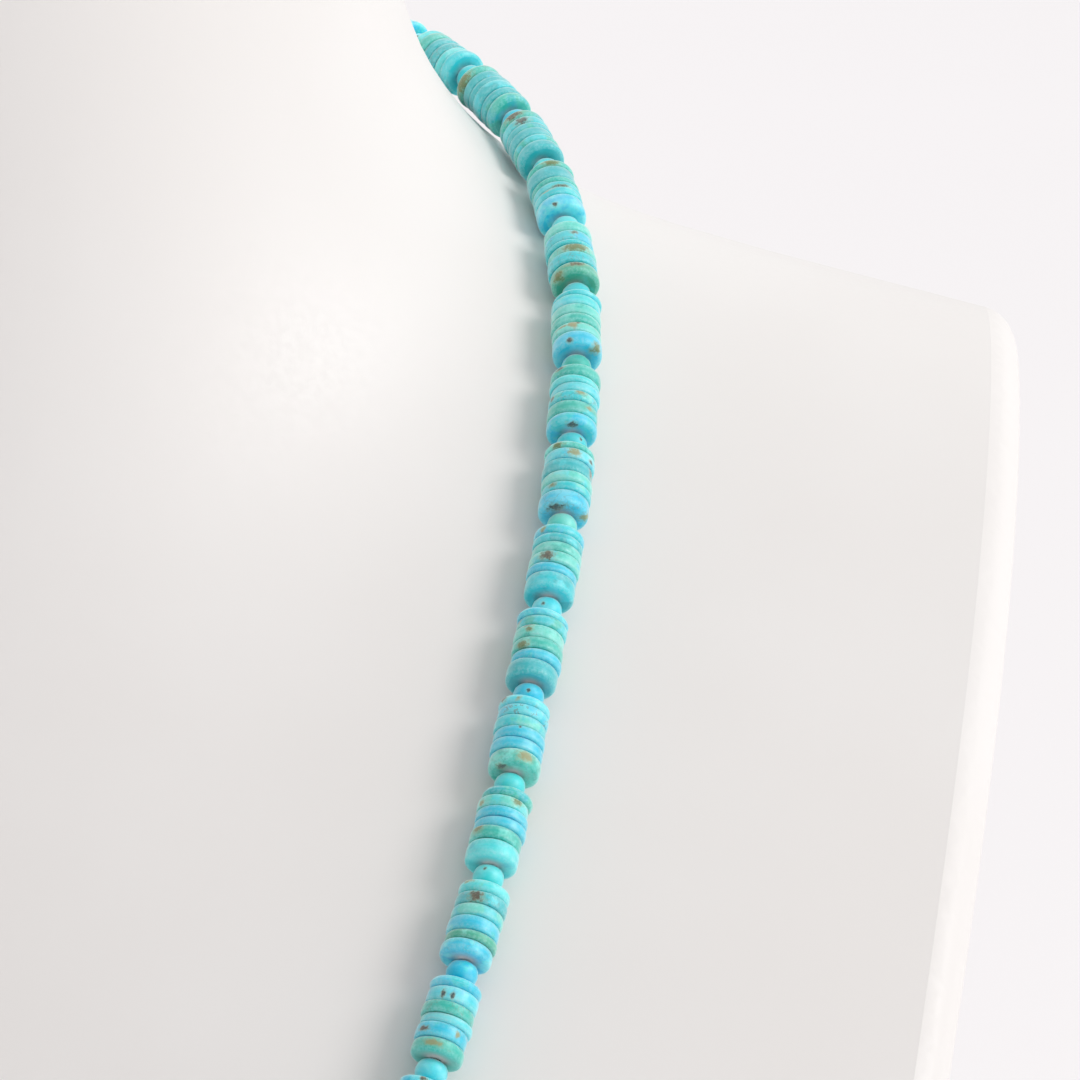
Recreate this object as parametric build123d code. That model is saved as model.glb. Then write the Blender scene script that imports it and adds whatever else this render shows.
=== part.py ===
from build123d import *
import math
import os

# A necklace of thin turquoise discs strung in stacks of six, with one small tube bead
# between each two stacks, lying round a plain white neck bust that holds it up.
# X runs across the shoulders, -Y is the front, and the base stands on Z = 0.

# Beads
disc_diameter = 4.0
disc_thickness = 0.95
disc_edge_radius = 0.18
disc_gap = 0.10
discs_in_stack = 6
groove_depth = 0.25
tube_bead_diameter = 2.3
tube_bead_length = 1.47
tube_bead_edge_radius = 0.35
tube_bead_gap = 0.24
hole_diameter = 1.10

# Thread and clasp
thread_diameter = 0.5
thread_turn_radius = 6.0
thread_turn_share = 0.45
clasp_diameter = 3.4
clasp_length = 16.2
clasp_gap = 0.5
clasp_end_diameter = 2.4
clasp_taper_length = 2.0
clasp_bore_depth = 3.0
clasp_seam_width = 0.5
clasp_seam_depth = 0.3
thread_end_gap = 0.3
bust_clearance = 0.30

# Neck bust
bust_height = 185.0
shoulder_level = 125.0
shoulder_half_width = 92.7
shoulder_slope = 16.6
shoulder_crown_rise = 17.3
shoulder_crown_width = 60.0
neck_half_width = 37.5
neck_half_depth = 35.0
neck_centre_y = 21.0
neck_taper = 0.05
neck_blend = 9.8
chest_slope = 43.7
chest_line_y = -1.1
chest_line_drop = 5.6
chest_front_y = -48.1
chest_front_lean = 8.0
chest_roundness = 385.0
back_y = 47.8
back_lean = 4.0
side_allowance = 40.0
edge_softness = 10.0
shoulder_rim_radius = 3.2
neck_rim_radius = 3.0
base_edge_radius = 1.0

# Sections of the bust: how many there are and how finely each is drawn
base_sections = 5
shoulder_sections = 16
neck_sections = 7
points_in_section = 48
core_share = 0.544
steepest_view = 58.0
trim_margin = 3.0
ray_halvings = 48
seating_steps = 8
gradient_step = 0.05

# The bust's cut side edge, top to bottom: half width as a share of the shoulders' half
# width, and height from the shoulder level as a share of the shoulder level
side_outline = [
    (1.026, 0.096),
    (1.003, -0.036),
    (0.972, -0.184),
    (0.911, -0.408),
    (0.832, -0.704),
    (0.756, -1.04),
]

# Half of the strand's route, from the middle of the chest to the back of the neck, as
# chosen points that are seated on the bust: across, depth, height from the shoulder level
route_points = [
    (0.0, -63.0, -93.4),
    (14.7, -62.0, -90.5),
    (27.6, -59.0, -81.7),
    (38.5, -53.5, -67.3),
    (45.4, -43.8, -51.2),
    (49.5, -33.5, -38.6),
    (52.3, -23.0, -27.3),
    (54.9, -11.4, -15.7),
    (56.0, 0.6, -5.1),
    (56.0, 7.1, 0.0),
    (55.2, 13.4, 4.4),
    (53.6, 20.4, 8.5),
    (50.8, 28.0, 12.2),
    (46.0, 35.6, 15.8),
    (39.0, 45.0, 18.4),
    (28.5, 53.5, 20.4),
    (15.0, 58.5, 21.7),
    (0.0, 60.0, 22.0),
]

# Sizes that follow from the others
disc_radius = disc_diameter / 2
disc_step = disc_thickness + disc_gap
stack_length = discs_in_stack * disc_step - disc_gap
pitch = stack_length + 2 * tube_bead_gap + tube_bead_length
seat_height = disc_radius + bust_clearance
uncut_half_width = shoulder_half_width + side_allowance
core_height = shoulder_level * core_share


# The bust's form

def smooth_max(values, softness):
    """The largest value, rounded off where two values are close."""
    peak = max(values)
    total = sum(math.exp((value - peak) / softness) for value in values)
    return peak + softness * math.log(total)


def neck_form(x, y, z):
    """An upright oval post that widens a little downward."""
    widening = neck_taper * (bust_height - z)
    half_width = neck_half_width + widening
    half_depth = neck_half_depth + widening
    reach = math.hypot(x / half_width, (y - neck_centre_y) / half_depth)
    return (reach - 1.0) * math.sqrt(half_width * half_depth)


def torso_form(x, y, z):
    """Chest, front, shoulders, back and ends, each a leaning face, softly joined."""
    slope = math.radians(90 - chest_slope)
    lean = math.radians(chest_front_lean)
    drop = math.radians(shoulder_slope)
    back = math.radians(back_lean)
    level = z - shoulder_level
    across = math.hypot(x, shoulder_crown_width) - shoulder_crown_width
    rounded_y = y - x * x / (2 * chest_roundness)
    chest = math.sin(slope) * (level + chest_line_drop) - math.cos(slope) * (rounded_y - chest_line_y)
    front = math.sin(lean) * level - math.cos(lean) * (rounded_y - chest_front_y)
    shoulder = math.sin(drop) * across + math.cos(drop) * (level - shoulder_crown_rise)
    rear = math.sin(back) * level + math.cos(back) * (y - back_y)
    side = abs(x) - uncut_half_width
    return smooth_max([chest, front, shoulder, rear, side], edge_softness)


def bust_form(x, y, z):
    """Below zero inside the bust, above zero outside it: a neck blended into a torso."""
    return -smooth_max([-neck_form(x, y, z), -torso_form(x, y, z)], neck_blend)


def outward(point):
    """The form's gradient at a point: how fast and which way it grows."""
    x, y, z = point.X, point.Y, point.Z
    step = gradient_step
    return Vector(
        bust_form(x + step, y, z) - bust_form(x - step, y, z),
        bust_form(x, y + step, z) - bust_form(x, y - step, z),
        bust_form(x, y, z + step) - bust_form(x, y, z - step),
    ) / (2 * step)


def seated(point, distance):
    """The point moved straight out or in until it lies at this distance from the bust."""
    for _ in range(seating_steps):
        way = outward(point)
        error = bust_form(point.X, point.Y, point.Z) / way.length - distance
        point = point - way.normalized() * error
    return point


def surface_point(height, rise, turn):
    """Where a ray from the neck's middle line meets the bust's skin."""
    across = math.sin(turn) * math.cos(rise)
    along = -math.cos(turn) * math.cos(rise)
    up = math.sin(rise)
    near = 0.0
    far = 3 * uncut_half_width
    for _ in range(ray_halvings):
        middle = (near + far) / 2
        if bust_form(across * middle, neck_centre_y + along * middle, height + up * middle) > 0:
            far = middle
        else:
            near = middle
    return Vector(across * near, neck_centre_y + along * near, height + up * near)


def section_rays():
    """Ray starts and rises: level up the torso, fanning over the shoulders, up the neck."""
    steepest = math.radians(steepest_view)
    rays = []
    for step in range(base_sections):
        share = step / base_sections
        rays.append((-trim_margin + (core_height + trim_margin) * share, 0.0))
    for step in range(shoulder_sections):
        rays.append((core_height, steepest * step / (shoulder_sections - 1)))
    neck_radius = neck_half_width + neck_taper * (bust_height - shoulder_level)
    first_hit = core_height + neck_radius * math.tan(steepest)
    top = bust_height + trim_margin
    for step in range(1, neck_sections + 1):
        share = step / neck_sections
        hit = first_hit + (top - first_hit) * share
        start = core_height + (top - core_height) * share
        rays.append((start, math.atan2(hit - start, neck_radius)))
    return rays


def bust_section(height, rise):
    """One closed smooth curve round the bust, starting at the middle of the front."""
    turns = [2 * math.pi * step / points_in_section for step in range(points_in_section)]
    points = [surface_point(height, rise, turn) for turn in turns]
    knots = [step / points_in_section for step in range(points_in_section + 1)]
    return Wire([Edge.make_spline(points, periodic=True, parameters=knots)])


def side_cutter():
    """A slab with the bust's front outline, between the base and the top of the neck."""
    outline = [
        (half * shoulder_half_width, shoulder_level * (1 + height)) for half, height in side_outline
    ]
    outer, upper = outline[0]
    with BuildPart() as cutter:
        with BuildSketch(Plane.XZ.offset(-uncut_half_width)):
            with BuildLine():
                right = Spline(*outline)
                left = Spline(*[(-half, height) for half, height in outline])
                Polyline((outer, upper), (outer, bust_height), (-outer, bust_height), (-outer, upper))
                Line(right @ 1, left @ 1)
            make_face()
        extrude(amount=2 * uncut_half_width)
    slab = Pos(0, 0, bust_height / 2) * Box(
        2 * uncut_half_width, 4 * uncut_half_width, bust_height
    )
    return cutter.part & slab


def neck_bust():
    form = Solid.make_loft([bust_section(height, rise) for height, rise in section_rays()])
    body = form & side_cutter()
    faces = body.faces().sort_by(Axis.X)
    rims = [edge for side in (faces[0], faces[-1]) for edge in side.edges()]
    rims = [edge for edge in rims if edge.center().Z > base_edge_radius]
    body = body.fillet(shoulder_rim_radius, rims)
    neck_top = body.faces().sort_by(Axis.Z)[-1]
    body = body.fillet(neck_rim_radius, neck_top.edges())
    base = body.faces().sort_by(Axis.Z)[0]
    return body.fillet(base_edge_radius, base.edges())


# The strand's route

def mirrored(point):
    return Vector(-point.X, point.Y, point.Z)


def strand_route():
    """The whole loop as one closed smooth curve seated on the bust."""
    half = [Vector(x, y, shoulder_level + height) for x, y, height in route_points]
    half = [seated(point, seat_height) for point in half]
    other = [mirrored(point) for point in half[-2:0:-1]]
    return Edge.make_spline(half + other, periodic=True)


def bead_knots(route):
    """Centres of the tube beads on one side, from the middle of the chest to the clasp."""
    room = route.length / 2 - clasp_length / 2 - clasp_gap - tube_bead_length / 2
    count = int(room / pitch + 0.5)
    spread = room / (count - 0.5)
    shares = [(step + 0.5) * spread / route.length for step in range(count)]
    return [seated(route.position_at(share), seat_height) for share in shares]


# Beads

def plain_disc():
    """One thin disc, drilled through, its middle at the origin and its hole along Z."""
    disc = Solid.make_cylinder(disc_radius, disc_thickness, Plane((0, 0, -disc_thickness / 2)))
    disc = disc.fillet(disc_edge_radius, disc.edges())
    return disc - Solid.make_cylinder(
        hole_diameter / 2, 2 * disc_thickness, Plane((0, 0, -disc_thickness))
    )


def grooved_stack():
    """A whole stack as one drilled solid, with a groove where two discs meet."""
    stack = Solid.make_cylinder(disc_radius, stack_length, Plane((0, 0, -stack_length / 2)))
    for index in range(1, discs_in_stack):
        low = -stack_length / 2 + index * disc_step - disc_gap
        ring = Solid.make_cylinder(2 * disc_radius, disc_gap, Plane((0, 0, low)))
        core = Solid.make_cylinder(disc_radius - groove_depth, disc_gap, Plane((0, 0, low)))
        stack = stack - (ring - core)
    return stack - Solid.make_cylinder(
        hole_diameter / 2, 2 * stack_length, Plane((0, 0, -stack_length))
    )


def tube_bead():
    """One short tube with rounded ends, its middle at the origin and its hole along Z."""
    bead = Solid.make_cylinder(
        tube_bead_diameter / 2, tube_bead_length, Plane((0, 0, -tube_bead_length / 2))
    )
    bead = bead.fillet(tube_bead_edge_radius, bead.edges())
    return bead - Solid.make_cylinder(
        hole_diameter / 2, 2 * tube_bead_length, Plane((0, 0, -tube_bead_length))
    )


def placed(piece, middle, direction):
    return piece.moved(Location(Plane(origin=middle, z_dir=direction)))


def stack_spans(knots):
    """Start and end of every stack: the middle one, then up the right and left sides."""
    spans = [(mirrored(knots[0]), knots[0])]
    for low, high in zip(knots, knots[1:]):
        spans.append((low, high))
        spans.append((mirrored(low), mirrored(high)))
    return spans


def disc_stacks(knots):
    """Loose discs all up the +X side, whole grooved stacks in the middle and on the other."""
    disc = plain_disc()
    stack = grooved_stack()
    pieces = []
    for start, end in stack_spans(knots):
        direction = (end - start).normalized()
        middle = (start + end) / 2
        if middle.X < disc_radius:
            pieces.append(placed(stack, middle, direction))
            continue
        for index in range(discs_in_stack):
            shift = (index - (discs_in_stack - 1) / 2) * disc_step
            pieces.append(placed(disc, middle + direction * shift, direction))
    return pieces


def tube_beads(knots):
    """A tube bead at every knot, along the mean of the stacks on both sides of it."""
    bead = tube_bead()
    ends = [mirrored(knots[0])] + knots + [clasp_end(knots)]
    pieces = []
    for before, here, after in zip(ends, ends[1:], ends[2:]):
        direction = (after - here).normalized() + (here - before).normalized()
        pieces.append(placed(bead, here, direction))
        pieces.append(placed(bead, mirrored(here), mirrored(direction)))
    return pieces


# Clasp and thread

def clasp_middle(knots):
    """The clasp's middle: behind the neck, level with the last tube beads."""
    last = knots[-1]
    middle = Vector(0, last.Y + disc_radius, last.Z)
    return seated(middle, clasp_diameter / 2 + bust_clearance)


def clasp_end(knots):
    return clasp_middle(knots) + Vector(clasp_length / 2, 0, 0)


def clasp(knots):
    """A plain barrel with a seam round its middle and a bore in each end."""
    radius = clasp_diameter / 2
    half = clasp_length / 2
    floor = half - clasp_bore_depth
    outline = [
        (0, 0),
        (radius - clasp_seam_depth, 0),
        (radius - clasp_seam_depth, clasp_seam_width / 2),
        (radius, clasp_seam_width / 2 + clasp_seam_depth),
        (radius, half - clasp_taper_length),
        (clasp_end_diameter / 2, half),
        (hole_diameter / 2, half),
        (hole_diameter / 2, floor),
        (0, floor),
    ]
    with BuildPart() as barrel:
        with BuildSketch(Plane.XZ):
            with BuildLine():
                Polyline(*outline, close=True)
            make_face()
        revolve(axis=Axis.Z)
        mirror(about=Plane.XY)
    return placed(barrel.part, clasp_middle(knots), Vector(1, 0, 0))


def turn_radii(points):
    """The thread's radius at each turn, smaller where the runs beside it are too short."""
    radii = []
    for before, here, after in zip(points, points[1:], points[2:]):
        turn = math.radians((here - before).get_angle(after - here))
        run = min((here - before).length, (after - here).length)
        radii.append(min(thread_turn_radius, thread_turn_share * run / math.tan(turn / 2)))
    return radii


def thread(knots):
    """Straight runs through the stacks, turned by small arcs inside the tube beads."""
    inside = clasp_end(knots) - Vector(clasp_bore_depth - thread_end_gap, 0, 0)
    side = knots + [clasp_end(knots), inside]
    points = [mirrored(point) for point in side[::-1]] + side
    with BuildPart() as string:
        with BuildLine() as path:
            FilletPolyline(*points, radius=turn_radii(points))
        with BuildSketch(Plane(origin=points[0], z_dir=points[1] - points[0])):
            Circle(thread_diameter / 2)
        sweep(path=path.wire())
    return string.part


def write_node(name, pieces):
    node = Compound(children=pieces) if len(pieces) > 1 else pieces[0]
    node.label = name
    export_step(node, os.path.join("parts", name + ".step"))


def main():
    os.makedirs("parts", exist_ok=True)
    knots = bead_knots(strand_route())
    write_node("neck_bust", [neck_bust()])
    write_node("turquoise_discs", disc_stacks(knots))
    write_node("tube_beads", tube_beads(knots))
    write_node("clasp", [clasp(knots)])
    write_node("thread", [thread(knots)])


if __name__ == "__main__":
    main()
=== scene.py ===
# %% [markdown]
# # A turquoise bead necklace on a white neck bust
#
# The real thing is a string of thin turquoise discs, six to a stack, with a small tube bead
# between two stacks. It lies round a smooth white bust. The CAD model already holds the
# stacks and tube beads at their size and place. Blender's work is to show the stone, the
# polish, the plastic and the light. So the first step loads that model as a frame that
# never moves.

# %% Load the CAD frame
import math
import random

import bpy
import numpy as np
from mathutils import Matrix, Vector


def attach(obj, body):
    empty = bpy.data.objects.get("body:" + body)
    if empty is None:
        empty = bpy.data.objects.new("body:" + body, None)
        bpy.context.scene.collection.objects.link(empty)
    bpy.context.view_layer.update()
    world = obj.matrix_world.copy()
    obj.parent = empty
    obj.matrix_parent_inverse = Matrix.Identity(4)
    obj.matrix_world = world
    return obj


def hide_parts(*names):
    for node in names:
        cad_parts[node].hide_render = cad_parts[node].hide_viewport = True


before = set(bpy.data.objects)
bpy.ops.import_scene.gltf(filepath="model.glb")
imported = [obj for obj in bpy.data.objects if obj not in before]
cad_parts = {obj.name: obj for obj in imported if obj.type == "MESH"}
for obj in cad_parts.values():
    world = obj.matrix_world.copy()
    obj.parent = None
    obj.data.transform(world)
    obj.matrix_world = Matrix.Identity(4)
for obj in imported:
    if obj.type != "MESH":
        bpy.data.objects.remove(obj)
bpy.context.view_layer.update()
MM = 0.001
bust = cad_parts["neck_bust"]
print("CAD nodes:", sorted(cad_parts))

# %% [markdown]
# ## The camera
#
# The photograph was taken from close by with a long lens, a little above the shoulder and
# turned 8 degrees down. A long lens far off keeps the beads nearly the same size along the
# whole strand. The places below come from fitting the strand's measured curve, so that the
# render and the photograph can be compared spot by spot.

# %% Set up the camera
camera_data = bpy.data.cameras.new("photo_camera")
camera_data.sensor_width = 36.0
camera_data.lens = 216.67
camera_data.clip_start = 0.01
camera_data.clip_end = 30.0
camera = bpy.data.objects.new("photo_camera", camera_data)
camera.location = (0.05318, -0.50714, 0.17768)
camera.rotation_euler = (math.radians(82.0), 0.0, 0.0)
bpy.context.collection.objects.link(camera)
bpy.context.scene.camera = camera
print("camera lens", camera_data.lens, "mm")

# %% [markdown]
# ## Where the beads are
#
# A jeweller strings the beads in order, so each one's place follows from its neighbours.
# The CAD tube beads are separate closed shapes. Walking from point to point along their
# edges finds each of them, and the middle of its box is the middle of the bead. Sorted by
# height on each side, these middles are the knots that the stacks hang between.

# %% Find the middle of each tube bead
def bead_middles(node_name):
    """The middle of each separate closed shape in a CAD node."""
    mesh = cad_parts[node_name].data
    spots = np.zeros(len(mesh.vertices) * 3)
    mesh.vertices.foreach_get("co", spots)
    spots = spots.reshape(-1, 3)
    _, same = np.unique(np.round(spots, 7), axis=0, return_inverse=True)
    same = same.reshape(-1)
    ends = np.zeros(len(mesh.edges) * 2, np.int64)
    mesh.edges.foreach_get("vertices", ends)
    ends = same[ends.reshape(-1, 2)]
    group = np.arange(same.max() + 1)
    while True:
        lower = np.minimum(group[ends[:, 0]], group[ends[:, 1]])
        after = group.copy()
        np.minimum.at(after, ends[:, 0], lower)
        np.minimum.at(after, ends[:, 1], lower)
        after = after[after]
        if (after == group).all():
            break
        group = after
    middles = []
    for bead in np.unique(group):
        own = spots[group[same] == bead]
        middles.append(Vector((own.min(0) + own.max(0)) / 2))
    return middles


tube_middles = bead_middles("tube_beads")
left_knots = sorted((m for m in tube_middles if m.x > 0), key=lambda m: m.z)
right_knots = sorted((m for m in tube_middles if m.x < 0), key=lambda m: m.z)
print("tube beads:", len(tube_middles), "on the shown side:", len(left_knots))

# %% [markdown]
# ## The colours of the stones
#
# Turquoise runs from sky blue to green, and the brown and black marks are the rock that it
# grew in. A maker sorts such stones by eye into a few tones, and here too the stones fall
# into a few tones.
# Each tone is named, so that the chart of the strand can be read like a stringing list.

# %% Name the tones
def from_screen(red, green, blue):
    """A screen colour of 0 to 255 as the linear light that Blender works in."""
    share = [channel / 255 for channel in (red, green, blue)]
    return tuple(
        s / 12.92 if s <= 0.04045 else ((s + 0.055) / 1.055) ** 2.4 for s in share
    ) + (1.0,)


TONES = {
    "sky": from_screen(38, 207, 238),
    "palesky": from_screen(94, 228, 243),
    "aqua": from_screen(34, 212, 222),
    "paleaqua": from_screen(86, 229, 232),
    "teal": from_screen(20, 190, 197),
    "sea": from_screen(38, 196, 180),
    "green": from_screen(50, 180, 150),
    "mint": from_screen(108, 224, 210),
    "olive": from_screen(108, 124, 68),
    "tan": from_screen(158, 162, 116),
    "brown": from_screen(86, 60, 42),
    "ink": from_screen(34, 44, 56),
}
STONE_MIX = ["sky", "palesky", "aqua", "aqua", "paleaqua", "teal", "teal", "sea", "mint", "green"]
print("tones:", len(TONES))

# %% [markdown]
# ## The stringing list
#
# Fifteen stacks show in the photograph, counted from the neck down. For each of them the
# list names its six discs from the top, and after a slash the tone of its cloudy patches.
# A number after a star makes a disc thicker or thinner than the rest. Marks are given by
# where they sit: degrees round the disc to the right, millimetres up from the middle of
# the stack, reach from the hole's middle, width, height and tone.

# %% Write the stringing list
# Stacks 2 to 4, up by the neck, are listed in darker teal and sea tones: partly the stones' own
# tone, and partly painted shade for the neck's shadow on them.
SHOWN_STACKS = {
    1: "paleaqua/mint sea teal teal paleaqua aqua",
    2: "sea/olive teal/sky teal*0.8 aqua/teal*1.2 teal/sea sea/teal*1.1",
    3: "sea/teal aqua/teal teal/sea*0.9 teal*1.2 sea/aqua*0.9 teal*1.1",
    4: "sea/mint*0.8 teal/aqua*1.4 sea/mint*0.6 aqua/teal*0.9 aqua/paleaqua*0.9 sky/palesky*1.5",
    5: "mint/sea*1.2 aqua/sky*1.15 aqua*0.4 mint/sea*1.05 aqua/teal*1.15 green/sea*1.25",
    6: "aqua/sky*0.6 paleaqua/palesky*1.05 mint/sea*1.05 sea/mint*1.05 mint/tan*1.0 sky*1.45",
    7: "sea/teal*1.15 paleaqua/aqua*0.75 palesky/sky*0.87 "
       "aqua/mint*1.06 sea/aqua*1.15 sky/aqua*1.2",
    8: "sea/mint*0.67 palesky/sky*1.0 teal/aqua*1.19 mint/paleaqua*0.95 aqua/mint*0.86 sky*1.53",
    9: "sky/aqua*0.97 aqua/teal*0.77 mint/sea*0.9 mint/aqua*0.98 sky*0.94 aqua/teal*1.65",
    10: "palesky/sky*0.65 aqua/sea*0.92 mint/sea*1.1 sea/mint*1.04 sky/aqua*1.0 teal*1.5",
    11: "palesky/tan*0.85 sky/palesky*0.97 aqua/mint*1.0 "
        "sky/aqua*0.96 sky/palesky*1.0 sea/mint*1.4",
    12: "sea/teal*0.85 mint/paleaqua*1.02 sky/palesky*0.84 "
        "sky*0.94 sea/mint*1.07 paleaqua/aqua*1.48",
    13: "paleaqua/mint*1.05 teal/aqua*1.02 mint/aqua*1.1 "
        "sky/aqua*1.1 green/mint*0.83 sky/palesky*1.1",
    14: "sky/aqua*0.9 palesky/sky*1.1 sea/mint*1.02 palesky/mint*0.7 sky/aqua*1.28 sea/olive*1.2",
    15: "palesky/sky sea/mint sky aqua/teal palesky mint/sea",
}
SHOWN_MARKS = [
    (2, -22, 2.5, 2.0, 2.4, 1.1, "olive"),
    (3, 2, 2.6, 2.0, 1.7, 0.8, "brown"), (3, 14, 1.5, 2.0, 1.3, 0.9, "ink"),
    (4, 14, 2.7, 2.0, 1.4, 0.7, "olive"), (4, 22, -0.6, 2.0, 1.7, 0.45, "brown"),
    (4, -18, -0.75, 2.0, 1.6, 0.35, "tan"), (4, -4, -2.9, 1.95, 0.4, 0.35, "ink"),
    (5, 20, 1.55, 2.0, 0.6, 0.45, "brown"), (5, 14, -0.2, 2.0, 2.4, 1.0, "olive"),
    (5, 10, -2.3, 2.0, 2.0, 0.45, "brown"), (5, -42, -2.9, 1.95, 1.2, 0.8, "olive"),
    (6, 4, -0.85, 2.0, 0.4, 0.25, "brown"), (6, -34, -1.0, 2.0, 1.4, 0.2, "tan"),
    (6, -18, -2.75, 1.95, 0.5, 0.5, "ink"), (6, 54, -2.85, 1.9, 1.0, 0.8, "olive"),
    (7, -44, 2.75, 2.0, 0.9, 0.35, "ink"), (7, 16, 0.0, 2.0, 0.8, 0.5, "tan"),
    (7, -58, -0.2, 2.0, 0.5, 0.5, "brown"), (7, 42, -1.3, 2.0, 0.7, 0.4, "tan"),
    (7, 0, -3.1, 1.5, 0.9, 0.3, "ink"),
    (8, -32, 2.7, 2.0, 1.0, 0.6, "olive"), (8, 6, 2.0, 2.0, 1.1, 0.75, "tan"),
    (8, 54, 1.85, 2.0, 0.5, 0.4, "ink"), (8, 70, 1.05, 2.0, 0.7, 1.0, "brown"),
    (8, -40, -1.15, 2.0, 0.7, 0.5, "olive"), (8, -26, -3.1, 1.35, 1.5, 0.45, "ink"),
    (8, 80, -3.0, 1.7, 0.8, 0.6, "tan"),
    (9, -46, 2.6, 2.0, 0.6, 0.5, "tan"), (9, -22, -0.1, 2.0, 1.2, 1.0, "brown"),
    (10, -72, 2.3, 2.0, 0.5, 0.7, "brown"), (10, -36, 1.35, 2.0, 1.0, 0.28, "ink"),
    (10, -28, 0.95, 2.0, 0.6, 0.5, "olive"), (10, -40, -0.45, 2.0, 1.1, 0.7, "olive"),
    (11, -60, 2.85, 2.0, 0.8, 0.6, "brown"), (11, -4, 0.05, 2.0, 0.25, 0.3, "ink"),
    (11, 18, -2.35, 1.95, 1.3, 0.9, "tan"), (11, -44, -3.1, 1.4, 0.8, 0.4, "ink"),
    (12, 30, 1.95, 2.0, 0.9, 0.6, "olive"), (12, -60, 1.6, 2.0, 0.6, 0.5, "tan"),
    (12, -50, -0.75, 2.0, 1.1, 0.8, "olive"),
    (13, -46, 2.9, 2.0, 1.0, 0.4, "tan"), (13, -18, 1.5, 2.0, 1.1, 1.1, "brown"),
    (14, -26, 1.45, 2.0, 0.4, 0.6, "ink"), (14, -4, 1.45, 2.0, 0.3, 0.6, "ink"),
    (14, 24, 1.45, 2.0, 0.35, 0.75, "ink"), (14, -48, -1.45, 2.0, 1.1, 0.4, "brown"),
    (14, 34, -1.3, 2.0, 0.45, 0.5, "tan"), (14, -18, -2.55, 2.0, 1.6, 0.5, "tan"),
    (15, -10, 2.9, 2.0, 0.6, 0.4, "brown"),
]
print("charted stacks:", len(SHOWN_STACKS), "charted marks:", len(SHOWN_MARKS))

# %% [markdown]
# ## The shape of one disc
#
# A disc is cut from a drilled rod of stone, then tumbled, which rounds its edges. On a lathe
# that is one outline turned round the hole. So the mesh is made the same way: a short
# outline of radius and height, repeated round the axis. Extra points beside each rounded
# edge keep the flat faces flat when Blender smooths the shading. The rounded edges are
# rings 2 to 6 and 8 to 12 of the outline, with the belly between them. No two discs are
# alike, so each one is a little out of round.

# %% Turn a bead's outline on a lathe
ROUND_STEPS = 44
FULL_TURN = 6.28
EDGE_STEPS = 4
FLAT_MARGIN = 0.08
EDGE_RINGS = {*range(2, 7), *range(8, 13)}


def bead_outline(radius, half_length, edge, hole, bulge=0.0):
    """Radius and height along a drilled bead's outline, from the hole's lower end to its upper."""
    points = [(hole, -half_length), (radius - edge - FLAT_MARGIN, -half_length)]
    for step in range(EDGE_STEPS + 1):
        turn = math.radians(90 * step / EDGE_STEPS)
        points.append((
            radius - edge + edge * math.sin(turn),
            -half_length + edge - edge * math.cos(turn),
        ))
    points.append((radius + bulge, 0.0))
    return points + [(r, -h) for r, h in reversed(points[:-1])]


def turned_bead(outline, wobble):
    """Points and faces of an outline turned round Z; wobble(turn) is the share of its radius."""
    turns = [2 * math.pi * step / ROUND_STEPS for step in range(ROUND_STEPS)]
    points = [
        Vector((r * wobble(t) * math.cos(t), r * wobble(t) * math.sin(t), h))
        for r, h in outline for t in turns
    ]
    faces = []
    for ring in range(len(outline)):
        above = (ring + 1) % len(outline)
        for step in range(ROUND_STEPS):
            beside = (step + 1) % ROUND_STEPS
            faces.append((
                ring * ROUND_STEPS + step, ring * ROUND_STEPS + beside,
                above * ROUND_STEPS + beside, above * ROUND_STEPS + step,
            ))
    return points, faces


print("rings in a disc:", len(bead_outline(2.0, 0.5, 0.2, 0.55)))

# %% [markdown]
# ## What each stone carries with it
#
# The colour of a natural stone is all through it. So each bead's points carry their own
# facts into the material: the two tones, a place inside its own piece of rock, how patchy,
# veined and worn it is, and where its marks lie. These are mesh attributes. They move with
# the bead and look the same from every side.

# %% Store the facts of each stone on its points
COLOURS = ["stone_tone", "patch_tone", "mark_tone_a", "mark_tone_b"]
VECTORS = ["stone_place", "stone_traits", "mark_place_a", "mark_place_b"]
FAR_AWAY = Vector((99.0, 99.0, 99.0))
ROCK_REACH = 60
MARK_DEPTH = 0.15


def place_in_rock(chance):
    """A spot drawn from a large block of rock, so that no two stones share their clouds."""
    return Vector([chance.uniform(-ROCK_REACH, ROCK_REACH) for _ in range(3)])


def mark_distance(point, mark):
    """The point seen from the middle of the mark, in halves of the mark's size."""
    turn = math.radians(mark["turn"])
    outward = Vector((math.cos(turn), math.sin(turn), 0.0))
    around = Vector((-outward.y, outward.x, 0.0))
    away = point - (outward * mark["reach"] + Vector((0, 0, mark["rise"])))
    return Vector((
        away.dot(around) / (mark["width"] / 2),
        away.z / (mark["height"] / 2),
        away.dot(outward) / (mark["height"] / 2 + MARK_DEPTH),
    ))


def stone_facts(points, stone, rock_place, edge_shares):
    """Lists of what every point of one bead carries, by attribute name: two marks at most."""
    marks = (stone["marks"] + [None, None])[:2]
    facts = {name: [] for name in COLOURS + VECTORS}
    for point, edge_share in zip(points, edge_shares):
        facts["stone_tone"].append(stone["tone"])
        facts["patch_tone"].append(stone["patch"])
        facts["stone_place"].append(point + rock_place)
        facts["stone_traits"].append(Vector((stone["patch_share"], stone["veins"], edge_share)))
        for mark, letter in zip(marks, "ab"):
            facts["mark_tone_" + letter].append(TONES[mark["tone"]] if mark else TONES["brown"])
            facts["mark_place_" + letter].append(mark_distance(point, mark) if mark else FAR_AWAY)
    return facts


print("attributes on each stone:", len(COLOURS + VECTORS))

# %% [markdown]
# ## Putting beads into a mesh
#
# Beads that belong together go into one mesh, because they are strung together and share
# one finish. A small collector takes each bead's points, moves them to their place on the
# strand, and keeps the facts in the same order.

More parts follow.
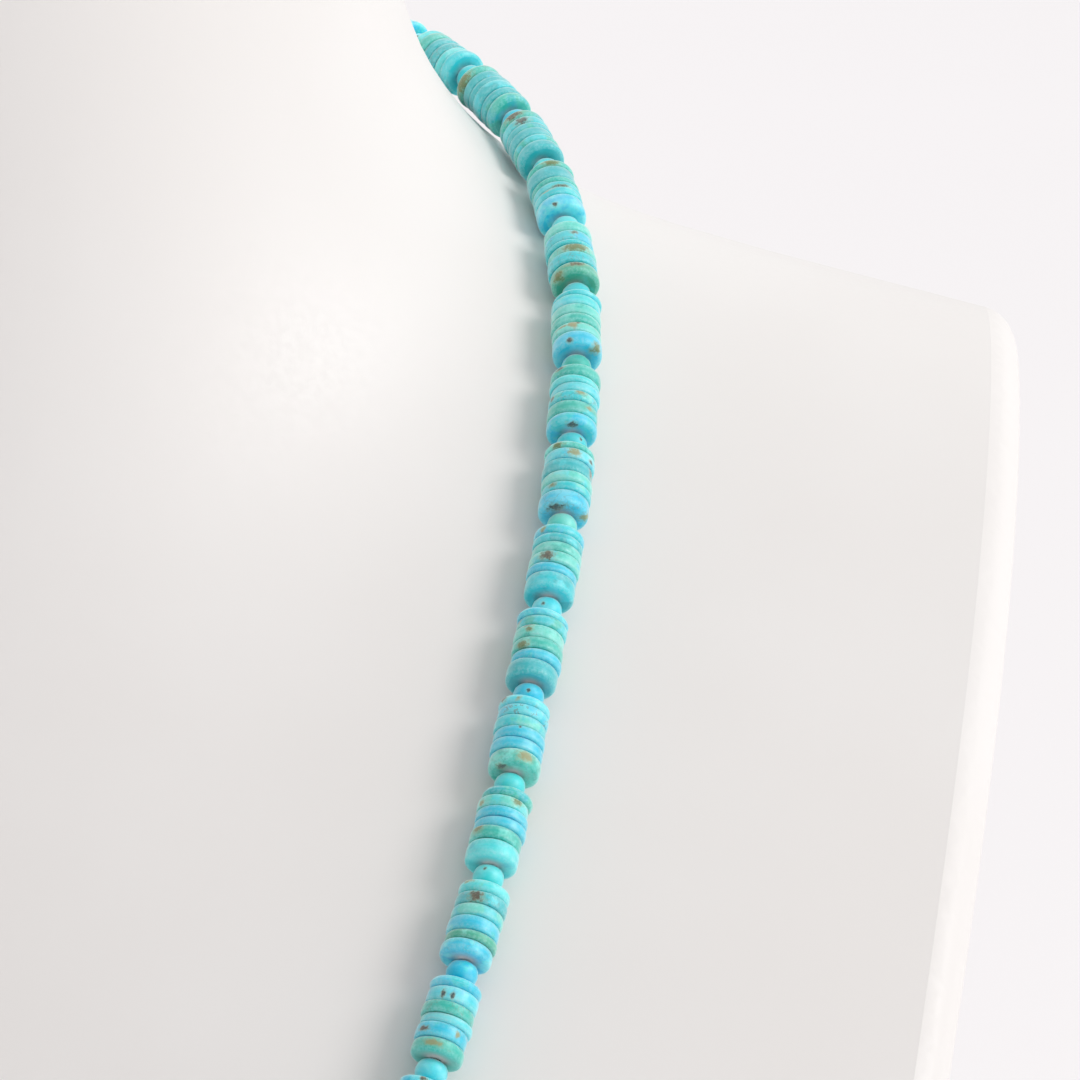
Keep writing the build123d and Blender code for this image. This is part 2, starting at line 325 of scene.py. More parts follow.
# %% Collect beads and make one mesh of them
class BeadTray:
    """Gathers beads, and makes them one object."""

    def __init__(self):
        self.points, self.faces = [], []
        self.facts = {name: [] for name in COLOURS + VECTORS}

    def add(self, points, faces, facts, place):
        first = len(self.points)
        self.points += [place @ (point * MM) for point in points]
        self.faces += [tuple(first + corner for corner in face) for face in faces]
        for name in self.facts:
            self.facts[name] += facts[name]

    def make(self, name, material):
        mesh = bpy.data.meshes.new(name)
        mesh.from_pydata(self.points, [], self.faces)
        mesh.polygons.foreach_set("use_smooth", [True] * len(mesh.polygons))
        for fact in COLOURS:
            layer = mesh.attributes.new(fact, "FLOAT_COLOR", "POINT")
            layer.data.foreach_set("color", np.array(self.facts[fact], np.float32).ravel())
        for fact in VECTORS:
            layer = mesh.attributes.new(fact, "FLOAT_VECTOR", "POINT")
            layer.data.foreach_set("vector", np.array(self.facts[fact], np.float32).ravel())
        mesh.materials.append(material)
        piece = bpy.data.objects.new(name, mesh)
        bpy.context.collection.objects.link(piece)
        return piece


def strand_place(middle, along):
    """A bead's own axes: Z along the strand, X towards the front, as the photograph sees it."""
    up = along.normalized()
    front = camera.location - middle
    front = (front - up * front.dot(up)).normalized()
    across = up.cross(front)
    return Matrix.Translation(middle) @ Matrix((front, across, up)).transposed().to_4x4()


print("a tray keeps", len(BeadTray().facts), "facts")

# %% [markdown]
# ## Tools for building materials
#
# Node materials are built from the same few nodes again and again. Short helpers keep the
# recipes below readable: one adds any node and feeds its sockets, others mix two colours,
# do sums, fit a value between two limits, make cloudy noise and raise a bump.

# %% Helpers that add nodes
def add_node(tree, kind, feeds=None, **settings):
    """Adds a node. A feed is a value for a socket, or another node's output to link."""
    made = tree.nodes.new(kind)
    for name, value in settings.items():
        setattr(made, name, value)
    for socket, feed in (feeds or {}).items():
        if isinstance(feed, bpy.types.NodeSocket):
            tree.links.new(feed, made.inputs[socket])
        else:
            made.inputs[socket].default_value = feed
    return made


def mix_colours(tree, share, first, second):
    feeds = {0: share, 6: first, 7: second}
    return add_node(tree, "ShaderNodeMix", feeds, data_type="RGBA").outputs[2]


def do_sum(tree, operation, first, second=0.0):
    return add_node(tree, "ShaderNodeMath", {0: first, 1: second}, operation=operation).outputs[0]


def weighed_sum(tree, *pairs):
    """Each value times its weight, added up."""
    parts = [do_sum(tree, "MULTIPLY", value, weight) for value, weight in pairs]
    whole = parts[0]
    for part in parts[1:]:
        whole = do_sum(tree, "ADD", whole, part)
    return whole


def fit(tree, value, low, high, to_low=0.0, to_high=1.0):
    """A smooth step from low to high."""
    feeds = {0: value, 1: low, 2: high, 3: to_low, 4: to_high}
    return add_node(tree, "ShaderNodeMapRange", feeds, interpolation_type="SMOOTHSTEP").outputs[0]


def clouds(tree, place, scale, detail=3.0, roughness=0.55):
    feeds = {"Vector": place, "Scale": scale, "Detail": detail, "Roughness": roughness}
    return add_node(tree, "ShaderNodeTexNoise", feeds).outputs[0]


def stretched(tree, place, scale):
    feeds = {0: place, 1: scale}
    return add_node(tree, "ShaderNodeVectorMath", feeds, operation="MULTIPLY").outputs[0]


def object_millimetres(tree):
    """The place of a spot on its own object, in millimetres."""
    place = add_node(tree, "ShaderNodeTexCoord").outputs["Object"]
    return stretched(tree, place, (1 / MM, 1 / MM, 1 / MM))


def add_bump(tree, shader, height, strength, distance):
    """Bends the shader's normal by a height; the distance is in millimetres."""
    feeds = {"Height": height, "Strength": strength, "Distance": distance * MM}
    bump = add_node(tree, "ShaderNodeBump", feeds)
    tree.links.new(bump.outputs["Normal"], shader.inputs["Normal"])


def new_group(name, takes, gives):
    """An empty shader group with named sockets, and its way in and out."""
    group = bpy.data.node_groups.new(name, "ShaderNodeTree")
    for label, kind in takes:
        group.interface.new_socket(label, in_out="INPUT", socket_type="NodeSocket" + kind)
    for label, kind in gives:
        group.interface.new_socket(label, in_out="OUTPUT", socket_type="NodeSocket" + kind)
    way_in, way_out = group.nodes.new("NodeGroupInput"), group.nodes.new("NodeGroupOutput")
    return group, way_in.outputs, way_out.inputs


def use_group(tree, group, feeds):
    """Places a group in a tree, and feeds its sockets as add_node does."""
    return add_node(tree, "ShaderNodeGroup", feeds, node_tree=group).outputs


def new_material(name):
    """A material with a Principled shader, and its node tree."""
    material = bpy.data.materials.new(name)
    material.use_nodes = True
    return material, material.node_tree, material.node_tree.nodes["Principled BSDF"]


print("helpers are ready")

# %% [markdown]
# ## Cloudy stone
#
# Cut turquoise is cloudy: soft lighter and darker areas, patches of a second tone, and fine
# lines where the grinding wheel ran round the edge. Handling pales the rounded edges a
# little. Discs and tube beads both need it, so it is one shader group with named inputs. It
# gives a colour that the materials use.

# %% Build the cloudy stone group
stone_clouds, entry, leave = new_group(
    "stone_clouds",
    [("Place", "Vector"), ("Tone", "Color"), ("Patch Tone", "Color"), ("Patch Share", "Float"),
     ("Contrast", "Float"), ("Edge Share", "Float")],
    [("Color", "Color")],
)
PALED_EDGE = (0.62, 0.85, 0.85, 1.0)
MEAN_NOISE = 0.5
SOFT_WEIGHT, FINE_WEIGHT, RING_WEIGHT = 0.9, 0.45, 0.45
HUE_DRIFT = 0.03
soft = clouds(stone_clouds, entry["Place"], 0.8, 4.0)
fine = clouds(stone_clouds, entry["Place"], 4.5, 4.0, 0.65)
wheel_place = stretched(stone_clouds, entry["Place"], (0.5, 0.5, 9.0))
rings = clouds(stone_clouds, wheel_place, 1.0, 3.0)
light_and_dark = weighed_sum(
    stone_clouds, (soft, SOFT_WEIGHT), (fine, FINE_WEIGHT), (rings, RING_WEIGHT))
mean_light = MEAN_NOISE * (SOFT_WEIGHT + FINE_WEIGHT + RING_WEIGHT)
swing = do_sum(stone_clouds, "SUBTRACT", light_and_dark, mean_light)
swing = do_sum(stone_clouds, "MULTIPLY", swing, entry["Contrast"])
patch_noise = clouds(stone_clouds, entry["Place"], 0.62, 3.0)
patch_high = do_sum(stone_clouds, "MULTIPLY", entry["Patch Share"], 0.62)
patch_high = do_sum(stone_clouds, "SUBTRACT", 0.86, patch_high)
patch_low = do_sum(stone_clouds, "SUBTRACT", patch_high, 0.12)
patch = fit(stone_clouds, patch_noise, patch_low, patch_high)
body = mix_colours(stone_clouds, patch, entry["Tone"], entry["Patch Tone"])
hue_drift = do_sum(stone_clouds, "SUBTRACT", fine, MEAN_NOISE)
hue_drift = do_sum(stone_clouds, "MULTIPLY", hue_drift, HUE_DRIFT)
shaded = add_node(stone_clouds, "ShaderNodeHueSaturation", {
    "Hue": do_sum(stone_clouds, "ADD", 0.5, hue_drift),
    "Saturation": fit(stone_clouds, soft, 0.3, 0.75, 1.08, 0.86),
    "Value": do_sum(stone_clouds, "ADD", 1.0, swing), "Color": body,
}).outputs[0]
worn = fit(stone_clouds, fine, 0.35, 0.7, 0.05, 0.3)
worn = do_sum(stone_clouds, "MULTIPLY", entry["Edge Share"], worn)
paled = mix_colours(stone_clouds, worn, shaded, PALED_EDGE)
stone_clouds.links.new(paled, leave["Color"])
print("group", stone_clouds.name, "nodes:", len(stone_clouds.nodes))

# %% [markdown]
# ## Marks of the mother rock
#
# Brown, olive and black spots are bits of the rock round the stone. Each has a place, kept
# on the mesh as a distance from its middle. Noise bends that distance, so no mark has a
# neat outline, and its rim fades through a tan halo. Fine veins run where a second noise
# crosses its middle value, but only in a few stones.

# %% Build the rock marks group
rock_marks, entry, leave = new_group(
    "rock_marks",
    [("Color", "Color"), ("Place", "Vector"), ("Mark Place A", "Vector"), ("Mark Tone A", "Color"),
     ("Mark Place B", "Vector"), ("Mark Tone B", "Color"), ("Veins", "Float")],
    [("Color", "Color"), ("Mask", "Float")],
)
HALO_COLOUR = (0.42, 0.44, 0.24, 1.0)
SPECKLE_COLOUR = (0.33, 0.27, 0.13, 1.0)
VEIN_COLOUR = (0.2, 0.13, 0.06, 1.0)
ragged = clouds(rock_marks, entry["Place"], 3.2, 4.0, 0.7)
ragged = do_sum(rock_marks, "SUBTRACT", ragged, MEAN_NOISE)
ragged = do_sum(rock_marks, "MULTIPLY", ragged, 2.4)
speckled = fit(rock_marks, clouds(rock_marks, entry["Place"], 7.0, 3.0, 0.6), 0.45, 0.66, 0.0, 0.55)
painted, cores = entry["Color"], []
for letter in "AB":
    mark_place = entry["Mark Place " + letter]
    away = add_node(rock_marks, "ShaderNodeVectorMath", {0: mark_place}, operation="LENGTH")
    away = do_sum(rock_marks, "ADD", away.outputs["Value"], ragged)
    halo = do_sum(rock_marks, "MULTIPLY", fit(rock_marks, away, 1.7, 0.8), 0.45)
    core = do_sum(rock_marks, "MULTIPLY", fit(rock_marks, away, 1.1, 0.5), 0.88)
    blotched = mix_colours(rock_marks, speckled, entry["Mark Tone " + letter], SPECKLE_COLOUR)
    painted = mix_colours(rock_marks, halo, painted, HALO_COLOUR)
    painted = mix_colours(rock_marks, core, painted, blotched)
    cores.append(core)
line = do_sum(rock_marks, "SUBTRACT", clouds(rock_marks, entry["Place"], 0.9, 3.0), MEAN_NOISE)
line = do_sum(rock_marks, "ABSOLUTE", line)
vein = do_sum(rock_marks, "MULTIPLY", fit(rock_marks, line, 0.022, 0.004), entry["Veins"])
painted = mix_colours(rock_marks, vein, painted, VEIN_COLOUR)
covered = do_sum(rock_marks, "MAXIMUM", cores[0], cores[1])
rock_marks.links.new(painted, leave["Color"])
rock_marks.links.new(do_sum(rock_marks, "MAXIMUM", covered, vein), leave["Mask"])
print("group", rock_marks.name, "nodes:", len(rock_marks.nodes))

# %% [markdown]
# ## Fine grain
#
# Polished stone, moulded plastic and brushed metal all have a surface that is rough on a
# very small scale. One group makes that grain at any scale and stretch. It gives a height
# for a bump, and a share that varies the roughness.

# %% Build the fine grain group
fine_grain, entry, leave = new_group(
    "fine_grain", [("Place", "Vector"), ("Scale", "Float"), ("Stretch", "Vector")],
    [("Height", "Float"), ("Share", "Float")],
)
drawn_out = stretched(fine_grain, entry["Place"], entry["Stretch"])
grain = clouds(fine_grain, drawn_out, entry["Scale"], 4.0, 0.6)
fine_grain.links.new(grain, leave["Height"])
fine_grain.links.new(fit(fine_grain, grain, 0.3, 0.7), leave["Share"])
print("group", fine_grain.name, "nodes:", len(fine_grain.nodes))

# %% [markdown]
# ## The turquoise material
#
# The stone has a waxy hand polish, and light goes a little way into it, which keeps the
# grooves between discs blue instead of black. So the shader is a fairly rough gloss with
# subsurface light. A pale sheen adds the haze that the wax shows where the stone turns away.
# The marks are softer than the stone and take less polish.

# %% Make the stone materials
def stone_material(name, contrast, roughness, inner_light):
    material, tree, shader = new_material(name)
    facts = {}
    for fact in COLOURS + VECTORS:
        reader = add_node(tree, "ShaderNodeAttribute", attribute_name=fact)
        facts[fact] = reader.outputs["Color" if fact in COLOURS else "Vector"]
    traits = add_node(tree, "ShaderNodeSeparateXYZ", {0: facts["stone_traits"]}).outputs
    place = facts["stone_place"]
    cloudy = use_group(tree, stone_clouds, {
        "Place": place, "Tone": facts["stone_tone"], "Patch Tone": facts["patch_tone"],
        "Patch Share": traits[0], "Contrast": contrast, "Edge Share": traits[2],
    })
    marked = use_group(tree, rock_marks, {
        "Color": cloudy["Color"], "Place": place, "Veins": traits[1],
        "Mark Place A": facts["mark_place_a"], "Mark Tone A": facts["mark_tone_a"],
        "Mark Place B": facts["mark_place_b"], "Mark Tone B": facts["mark_tone_b"],
    })
    grain = use_group(tree, fine_grain, {"Place": place, "Scale": 3.2, "Stretch": (1.0, 1.0, 4.0)})
    polish = fit(tree, grain["Share"], 0.0, 1.0, roughness - 0.05, roughness + 0.09)
    dull = do_sum(tree, "ADD", polish, do_sum(tree, "MULTIPLY", marked["Mask"], 0.18))
    sunken = weighed_sum(tree, (grain["Height"], 1.0), (marked["Mask"], -0.6))
    add_bump(tree, shader, sunken, 0.35, 0.03)
    tree.links.new(marked["Color"], shader.inputs["Base Color"])
    tree.links.new(dull, shader.inputs["Roughness"])
    shader.inputs["IOR"].default_value = 1.62
    shader.inputs["Subsurface Weight"].default_value = inner_light
    shader.inputs["Subsurface Radius"].default_value = (0.35, 0.9, 1.0)
    shader.inputs["Subsurface Scale"].default_value = 1.2 * MM
    shader.inputs["Sheen Weight"].default_value = 1.0
    shader.inputs["Sheen Roughness"].default_value = 0.42
    shader.inputs["Sheen Tint"].default_value = (0.93, 1.0, 1.0, 1.0)
    return material


disc_stone = stone_material("turquoise_disc_stone", contrast=0.5, roughness=0.4, inner_light=0.7)
tube_stone = stone_material("tube_bead_stone", contrast=0.35, roughness=0.42, inner_light=0.7)
print("materials:", disc_stone.name, tube_stone.name)

# %% [markdown]
# ## Stringing the stacks
#
# Six discs fill the room between two tube beads. Real discs differ in thickness, sit a
# little askew on the thread and shift sideways, and that unevenness is what makes the
# strand look handmade. Each stack draws these from its own seeded numbers, so the strand
# comes out the same every time. A shift never pushes a disc into the bust. The first and
# last discs are rounded more, as the photograph shows. Lengths here are in millimetres and
# turns in degrees. A pair of numbers is the least and the most that can be drawn. Veins are
# drawn from below zero, so only a few stones have any.

# %% String one stack
STACK_LENGTH = 6.2
DISCS_IN_STACK = 6
DISC_RADIUS = 1.955
DISC_GAP = 0.035
DISC_BULGE = 0.02
HOLE_RADIUS = 0.5
END_EDGE_EXTRA = 0.1
MOST_EDGE_SHARE = 0.42
MOST_SHIFT = 0.09
PUSH_BACK = 1.5
MOST_TILT = 0.9
THICKNESS_SHARES, RADIUS_SHARES = (0.9, 1.1), (0.985, 1.012)
EDGE_RADII = (0.17, 0.26)
OVAL_SHARE, THREE_SIDED_SHARE = 0.008, 0.004
PATCH_SHARES, VEIN_SHARES = (0.2, 0.5), (-2.5, 0.5)
MARK_TURNS, HIDDEN_TURNS = (-180, 180), (100, 260)
MARK_WIDTHS, MARK_HEIGHTS = (0.3, 1.3), (0.25, 0.7)
EXTRA_MARK_CHANCE = 0.3


def listed_discs(stack_number, chance):
    """Tone, patch tone and relative thickness of the six discs, listed or drawn."""
    if stack_number in SHOWN_STACKS:
        words = SHOWN_STACKS[stack_number].split()
    else:
        words = [chance.choice(STONE_MIX) + "/" + chance.choice(STONE_MIX)
                 for _ in range(DISCS_IN_STACK)]
    discs = []
    for word in words:
        tones, _, weight = word.partition("*")
        tone, _, patch = tones.partition("/")
        share = chance.uniform(*THICKNESS_SHARES)
        discs.append((tone, patch or tone, float(weight or 1) * share))
    return discs


def chance_mark(chance, low, high):
    """A small mark that is not on the list, for stones and sides that the photo hides."""
    tone = chance.choice(["brown", "olive", "olive", "tan", "ink"])
    return {
        "turn": chance.uniform(*MARK_TURNS), "rise": chance.uniform(low, high),
        "reach": DISC_RADIUS, "width": chance.uniform(*MARK_WIDTHS),
        "height": chance.uniform(*MARK_HEIGHTS), "tone": tone,
    }


def disc_marks(stack_number, chance, low, high, last):
    """The marks on one disc: those listed between its faces, and by chance one more."""
    found = []
    for stack, turn, rise, reach, width, height, tone in SHOWN_MARKS:
        if stack == stack_number and (low < rise <= high or (last and rise <= low)):
            found.append({"turn": turn, "rise": rise - (low + high) / 2, "reach": reach,
                          "width": width, "height": height, "tone": tone})
    hidden_turn = chance.uniform(*HIDDEN_TURNS)
    extra = chance_mark(chance, (low - high) / 3, (high - low) / 3)
    if stack_number in SHOWN_STACKS:
        extra["turn"] = hidden_turn
    if chance.random() < EXTRA_MARK_CHANCE:
        found.append(extra)
    return found


def loose_seat(chance, outward, rise):
    """Where one disc sits on the thread: shifted, but never towards the bust, and askew."""
    shift = Vector([chance.uniform(-MOST_SHIFT, MOST_SHIFT) for _ in range(2)] + [0])
    into_bust = shift.dot(outward)
    if into_bust < 0:
        shift -= outward * PUSH_BACK * into_bust
    turns = [math.radians(chance.uniform(-MOST_TILT, MOST_TILT)) for _ in range(2)]
    tilt = Matrix.Rotation(turns[0], 4, "X") @ Matrix.Rotation(turns[1], 4, "Y")
    return Matrix.Translation((shift + Vector((0, 0, rise))) * MM) @ tilt


def string_stack(tray, stack_number, lower, upper, seed):
    """Adds the six discs between two knots to the tray, from the upper end down."""
    chance = random.Random(seed)
    middle = (lower + upper) / 2
    place = strand_place(middle, upper - lower)
    _, skin, _, _ = bust.closest_point_on_mesh(middle)
    outward = place.to_3x3().inverted() @ (middle - skin)
    outward = Vector((outward.x, outward.y, 0)).normalized()
    discs = listed_discs(stack_number, chance)
    room = STACK_LENGTH - (DISCS_IN_STACK - 1) * DISC_GAP
    per_weight = room / sum(weight for _, _, weight in discs)
    top = STACK_LENGTH / 2
    for number, (tone, patch, weight) in enumerate(discs):
        thickness = weight * per_weight
        first, last = number == 0, number == DISCS_IN_STACK - 1
        edge = chance.uniform(*EDGE_RADII) + (END_EDGE_EXTRA if first or last else 0.0)
        edge = min(edge, thickness * MOST_EDGE_SHARE)
        radius = DISC_RADIUS * chance.uniform(*RADIUS_SHARES)
        outline = bead_outline(radius, thickness / 2, edge, HOLE_RADIUS, DISC_BULGE)
        oval_at, three_at = chance.uniform(0, FULL_TURN), chance.uniform(0, FULL_TURN)
        points, faces = turned_bead(
            outline,
            lambda t: 1 + OVAL_SHARE * math.sin(2 * t + oval_at)
            + THREE_SIDED_SHARE * math.sin(3 * t + three_at),
        )
        marks = disc_marks(stack_number, chance, top - thickness, top, last)
        stone = {
            "tone": TONES[tone], "patch": TONES[patch], "marks": marks,
            "patch_share": chance.uniform(*PATCH_SHARES),
            "veins": max(0.0, chance.uniform(*VEIN_SHARES)),
        }
        rock_place = place_in_rock(chance)
        edge_shares = [float(ring in EDGE_RINGS)
                       for ring in range(len(outline)) for _ in range(ROUND_STEPS)]
        facts = stone_facts(points, stone, rock_place, edge_shares)
        seat = loose_seat(chance, outward, top - thickness / 2)
        tray.add(points, faces, facts, place @ seat)
        top -= thickness + DISC_GAP


print("a stack is", STACK_LENGTH, "mm long")

# %% [markdown]
# ## The whole strand
#
# The shown side is counted as the photograph shows it, from the neck down, where the stack
# that is counted as 1 is the 22nd from the middle of the chest. The other side is its
# mirror in shape, but its stones are drawn by chance, as they would be from the same bag.
# Each stack is one piece, because the six discs are the unit that the maker strung.

# %% Make the stacks
def make_stack(name, stack_number, lower, upper, seed):
    tray = BeadTray()
    string_stack(tray, stack_number, lower, upper, seed)
    piece = tray.make(name, disc_stone)
    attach(piece, "root")
    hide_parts("turquoise_discs")
    return piece


TOP_STACK = 22
UNLISTED = 0
RIGHT_SEED, MIDDLE_SEED = 100, 777
stacks = []
for step in range(len(left_knots) - 1):
    ends = left_knots[step], left_knots[step + 1]
    stacks.append(make_stack(f"stack_left_{step + 1:02d}", TOP_STACK - step, *ends, step))
for step in range(len(right_knots) - 1):
    ends = right_knots[step], right_knots[step + 1]
    stacks.append(make_stack(f"stack_right_{step + 1:02d}", UNLISTED, *ends, RIGHT_SEED + step))
stacks.append(make_stack("stack_middle", UNLISTED, right_knots[0], left_knots[0], MIDDLE_SEED))
print("stacks:", len(stacks))

# %% [markdown]
# ## The tube beads
#
# Between two stacks sits a short tube of pale stone, half as wide as a disc, with well
# rounded ends. It is turned like the discs, only longer. Each one points between its two
# neighbours, as a bead on a bent thread does. They are all alike in finish, so they are one
# piece. The list of tones counts the shown beads from the middle of the chest up.

# %% Make the tube beads
TUBE_RADIUS = 1.17
TUBE_LENGTH = 1.8
TUBE_HOLE_RADIUS = HOLE_RADIUS * 0.6
TUBE_BULGE = 0.03
TUBE_RADIUS_SHARES, TUBE_EDGE_RADII = (0.97, 1.03), (0.66, 0.74)
TUBE_OVAL_SHARE, TUBE_PATCH_SHARE = 0.012, 0.25
TUBE_MARK_CHANCE, TUBE_MARK_SIZE = 0.35, 0.3
TUBE_MARK_TURNS, TUBE_MARK_RISES = (-60, 60), (-0.4, 0.3)
TUBE_SEED = 500
TUBE_TONES = ["palesky", "palesky", "sky", "paleaqua", "aqua"]
SHOWN_TUBES = {
    21: "aqua", 20: "sky", 19: "aqua", 18: "paleaqua", 17: "aqua", 16: "sea", 15: "aqua",
    14: "mint", 13: "palesky", 12: "sky", 11: "paleaqua", 10: "paleaqua", 9: "sky", 8: "palesky",
}


def add_tube(tray, middle, along, tone, seed):
    chance = random.Random(seed)
    radius = TUBE_RADIUS * chance.uniform(*TUBE_RADIUS_SHARES)
    edge = chance.uniform(*TUBE_EDGE_RADII)
    outline = bead_outline(radius, TUBE_LENGTH / 2, edge, TUBE_HOLE_RADIUS, TUBE_BULGE)
    oval_at = chance.uniform(0, FULL_TURN)
    points, faces = turned_bead(outline, lambda t: 1 + TUBE_OVAL_SHARE * math.sin(2 * t + oval_at))
    marks = []
    if chance.random() < TUBE_MARK_CHANCE:
        marks.append({
            "turn": chance.uniform(*TUBE_MARK_TURNS), "rise": chance.uniform(*TUBE_MARK_RISES),
            "reach": TUBE_RADIUS, "width": TUBE_MARK_SIZE, "height": TUBE_MARK_SIZE, "tone": "ink",
        })
    stone = {"tone": TONES[tone], "patch": TONES[chance.choice(TUBE_TONES)], "marks": marks,
             "patch_share": TUBE_PATCH_SHARE, "veins": 0.0}
    facts = stone_facts(points, stone, place_in_rock(chance), [0.0] * len(points))
    tray.add(points, faces, facts, strand_place(middle, along))


tube_tray = BeadTray()
ring_of_knots = [*reversed(right_knots), *left_knots]
for index, knot in enumerate(ring_of_knots):
    before = ring_of_knots[max(index - 1, 0)]
    after = ring_of_knots[min(index + 1, len(ring_of_knots) - 1)]
    direction = after - before
    if direction.z < 0:
        direction = -direction
    tone = SHOWN_TUBES.get(index - len(right_knots), TUBE_TONES[index % len(TUBE_TONES)])
    add_tube(tube_tray, knot, direction, tone, TUBE_SEED + index)
tubes = tube_tray.make("tube_beads_turned", tube_stone)
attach(tubes, "root")
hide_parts("tube_beads")
print("tube beads:", len(ring_of_knots), "faces:", len(tubes.data.polygons))

# %% [markdown]
# ## The white bust
#
# The bust is a smooth moulded shell with a satin finish. It is not a perfect white: the
# tone drifts a little, and handling has left a few tiny specks and hairline scratches.
# Both are spots in scattered cells, and the scratches' cells are drawn out long. The CAD
# shape is already right, so it keeps its mesh and only gets this finish.

# %% Make the bust's finish
SHADED_WHITE = (0.806, 0.786, 0.769, 1.0)
FULL_WHITE = (0.824, 0.808, 0.794, 1.0)
SOILED = (0.36, 0.34, 0.31, 1.0)


def dress(node_name, material):
    """Gives a CAD piece its finish, in every slot that it has."""
    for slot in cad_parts[node_name].material_slots:
        slot.material = material


def scattered(tree, place, scale, wide, narrow, channel, fewest, most):
    """Spots at the middles of some random cells; one colour channel chooses which cells."""
    feeds = {"Vector": place, "Scale": scale, "Randomness": 1.0}
    cells = add_node(tree, "ShaderNodeTexVoronoi", feeds).outputs
    chooser = add_node(tree, "ShaderNodeSeparateColor", {0: cells["Color"]}).outputs[channel]
    spots = fit(tree, cells["Distance"], wide, narrow)
    return do_sum(tree, "MULTIPLY", spots, fit(tree, chooser, fewest, most))


bust_white, tree, shader = new_material("bust_satin_white")
place = object_millimetres(tree)
drift = fit(tree, clouds(tree, place, 0.03, 2.0), 0.3, 0.7)
white = mix_colours(tree, drift, SHADED_WHITE, FULL_WHITE)
speck = scattered(tree, place, 0.085, 0.02, 0.008, 0, 0.55, 0.6)
slant = {"Vector": place, "Axis": (0.3, 1.0, 0.2), "Angle": 0.6}
slanted = add_node(tree, "ShaderNodeVectorRotate", slant).outputs[0]
slivers = stretched(tree, slanted, (1.0, 1.0, 0.14))
scratch = scattered(tree, slivers, 0.11, 0.018, 0.006, 1, 0.6, 0.65)
soiled = do_sum(tree, "MULTIPLY", do_sum(tree, "MAXIMUM", speck, scratch), 0.5)
white = mix_colours(tree, soiled, white, SOILED)
grain = use_group(tree, fine_grain, {"Place": place, "Scale": 1.6, "Stretch": (1.0, 1.0, 1.0)})
tree.links.new(white, shader.inputs["Base Color"])
tree.links.new(fit(tree, grain["Share"], 0.0, 1.0, 0.42, 0.5), shader.inputs["Roughness"])
add_bump(tree, shader, grain["Height"], 0.12, 0.04)
dress("neck_bust", bust_white)
print("material:", bust_white.name)

# %% [markdown]
# ## The clasp and the thread
#
# The clasp at the back is a plain barrel of silvery metal, brushed along its length. The
# thread is a pale twisted cord, and only short bits of it show between the beads. Both
# keep their CAD shapes. The twist is a bump that winds round, and the cord's colour is
# painted darker in the twist's grooves as painted shade. The brushing is the same fine
# grain as before, stretched into long lines.

# %% Make the clasp's and the thread's finish
CLEAN_METAL, TARNISHED = (0.78, 0.77, 0.74, 1.0), (0.5, 0.47, 0.42, 1.0)
clasp_metal, tree, shader = new_material("clasp_brushed_metal")
place = object_millimetres(tree)
brushed = use_group(tree, fine_grain, {"Place": place, "Scale": 2.0, "Stretch": (0.35, 9.0, 9.0)})
tarnish = fit(tree, clouds(tree, place, 0.35, 3.0), 0.4, 0.75)
tarnish = do_sum(tree, "MULTIPLY", tarnish, 0.35)
tree.links.new(mix_colours(tree, tarnish, CLEAN_METAL, TARNISHED), shader.inputs["Base Color"])
tree.links.new(fit(tree, brushed["Share"], 0.0, 1.0, 0.22, 0.42), shader.inputs["Roughness"])
add_bump(tree, shader, brushed["Height"], 0.3, 0.03)
shader.inputs["Metallic"].default_value = 1.0
dress("clasp", clasp_metal)

# The darker colour is painted shade for the grooves of the twist; the paler one is the cord.
PAINTED_GROOVE_SHADE, PALE_PLY = (0.62, 0.64, 0.6, 1.0), (0.84, 0.86, 0.82, 1.0)
FUZZ = (0.7, 0.72, 0.68, 1.0)
thread_fibre, tree, shader = new_material("thread_twisted_fibre")
place = object_millimetres(tree)
twist = add_node(tree, "ShaderNodeTexWave", {"Vector": place, "Scale": 2.6, "Distortion": 1.2},
                 wave_type="BANDS", bands_direction="DIAGONAL").outputs["Fac"]
fibre = use_group(tree, fine_grain, {"Place": place, "Scale": 6.0, "Stretch": (1.0, 1.0, 1.0)})
# Painted shade: the cord is darker where the twist's bump is low, in its grooves.
plies_with_groove_shade = mix_colours(tree, twist, PAINTED_GROOVE_SHADE, PALE_PLY)
fuzzy = mix_colours(tree, do_sum(tree, "MULTIPLY", fibre["Share"], 0.3), plies_with_groove_shade, FUZZ)
tree.links.new(fuzzy, shader.inputs["Base Color"])
tree.links.new(fit(tree, fibre["Share"], 0.0, 1.0, 0.7, 0.9), shader.inputs["Roughness"])
add_bump(tree, shader, twist, 0.6, 0.08)
dress("thread", thread_fibre)
print("materials:", clasp_metal.name, thread_fibre.name)

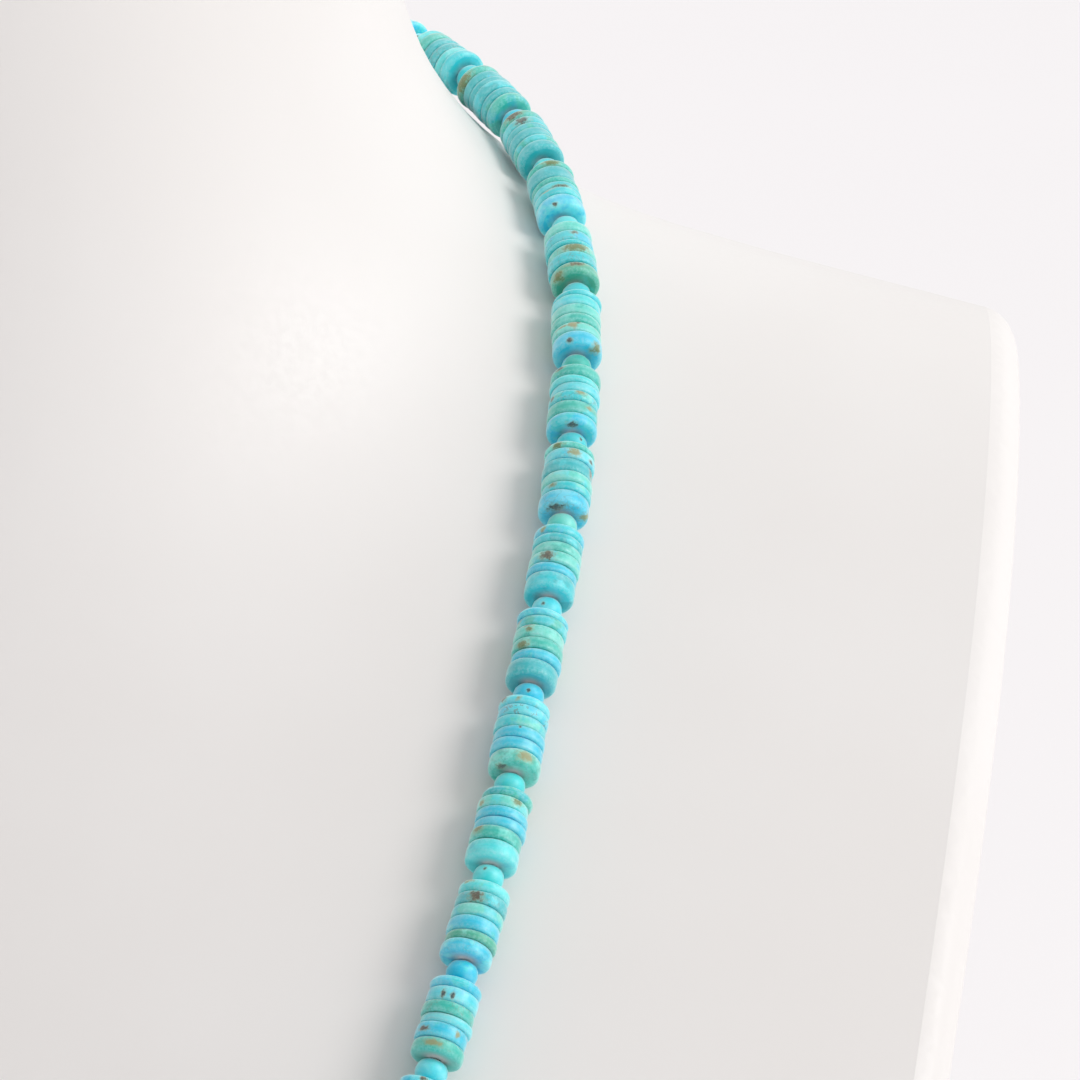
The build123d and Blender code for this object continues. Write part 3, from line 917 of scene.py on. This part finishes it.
# %% [markdown]
# ## Floor and light
#
# The picture is bright and soft: a pale backdrop, light from all round, and one broad light
# from the right and above. Its direction can be read from the shadows, which lie to the
# left of each stack. A sun with a wide disc gives every spot the same light, so the far
# floor is as bright as the near one. The room round it is not even: the bust's shading
# shows that it is brighter above, behind and to the right. So the room's strength is a
# middle value plus how far a heading points that way. The plain view transform keeps whites
# white.

# %% Lay the floor and light the scene
FLOOR_REACH = 8
FLOOR_GREY, FLOOR_WHITE = (0.93, 0.915, 0.925, 1.0), (0.95, 0.935, 0.945, 1.0)
floor_mesh = bpy.data.meshes.new("floor")
corners = [(x * FLOOR_REACH, y * FLOOR_REACH, 0) for x, y in ((-1, -1), (1, -1), (1, 1), (-1, 1))]
floor_mesh.from_pydata(corners, [], [(0, 1, 2, 3)])
floor = bpy.data.objects.new("floor", floor_mesh)
bpy.context.collection.objects.link(floor)
floor_paper, tree, shader = new_material("floor_pale_paper")
paper = clouds(tree, add_node(tree, "ShaderNodeTexCoord").outputs["Object"], 1.5, 2.0)
tree.links.new(mix_colours(tree, paper, FLOOR_GREY, FLOOR_WHITE), shader.inputs["Base Color"])
shader.inputs["Roughness"].default_value = 0.9
shader.inputs["Specular IOR Level"].default_value = 0.1
floor_mesh.materials.append(floor_paper)

ROOM_STRENGTH, ROOM_LEAN = 0.48, (0.31, 0.2, 0.43)
world = bpy.data.worlds.new("studio")
world.use_nodes = True
room = world.node_tree
background = room.nodes["Background"]
background.inputs["Color"].default_value = (1.0, 0.985, 0.99, 1.0)
heading = add_node(room, "ShaderNodeTexCoord").outputs["Generated"]
feeds = {0: heading, 1: ROOM_LEAN}
leaning = add_node(room, "ShaderNodeVectorMath", feeds, operation="DOT_PRODUCT")
strength = do_sum(room, "ADD", leaning.outputs["Value"], ROOM_STRENGTH)
room.links.new(strength, background.inputs["Strength"])
bpy.context.scene.world = world

key_data = bpy.data.lights.new("key_light", "SUN")
key_data.energy = 1.3
key_data.angle = math.radians(28)
key_data.color = (1.0, 0.985, 0.965)
key = bpy.data.objects.new("key_light", key_data)
towards_light = Vector((0.80, -0.25, 0.55))
key.rotation_euler = towards_light.to_track_quat("Z", "Y").to_euler()
bpy.context.collection.objects.link(key)
bpy.context.scene.view_settings.view_transform = "Standard"
print("key light energy:", key_data.energy)
